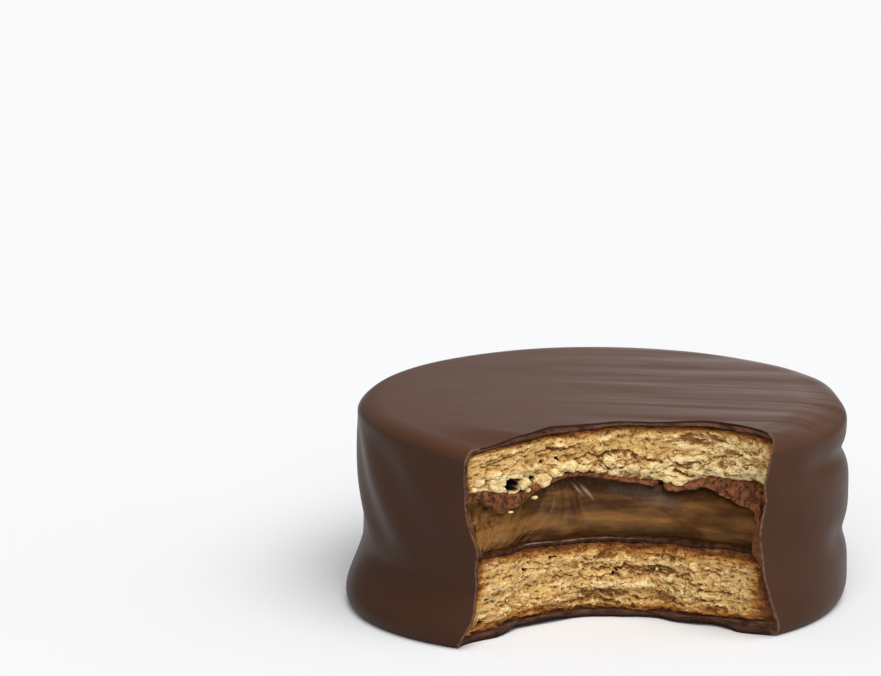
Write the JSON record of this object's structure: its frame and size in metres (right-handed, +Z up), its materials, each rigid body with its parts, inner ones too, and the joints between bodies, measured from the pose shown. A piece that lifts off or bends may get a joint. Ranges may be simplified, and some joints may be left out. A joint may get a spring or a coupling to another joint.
{
  "type": "alfajor cookie",
  "caption": "Round sandwich biscuit, bitten on one side: thick crumbly biscuits with a caramel filling between them, coated all over in dark chocolate.",
  "frame": {"origin": "centre of the flat underside, on the axis of the round", "axes": "+Z up, out of the top; -Y towards the bite; +X to the right of someone who looks into the bite"},
  "size_m": [0.0687, 0.0629, 0.0267],
  "materials": {
    "coating": "dark milk chocolate with a satin gloss, soft drapes and a thin broken edge at the bite",
    "lower_biscuit": "golden brown crumb with flat flakes, toasted along its faces",
    "filling": "glossy milk caramel, smooth and smeared",
    "upper_biscuit": "pale crumb with round nodules and thin dark crevices"
  },
  "bodies": {
    "root": {"coating": "coating", "lower_biscuit": "lower_biscuit", "filling": "filling", "upper_biscuit": "upper_biscuit"}
  },
  "joints": []
}
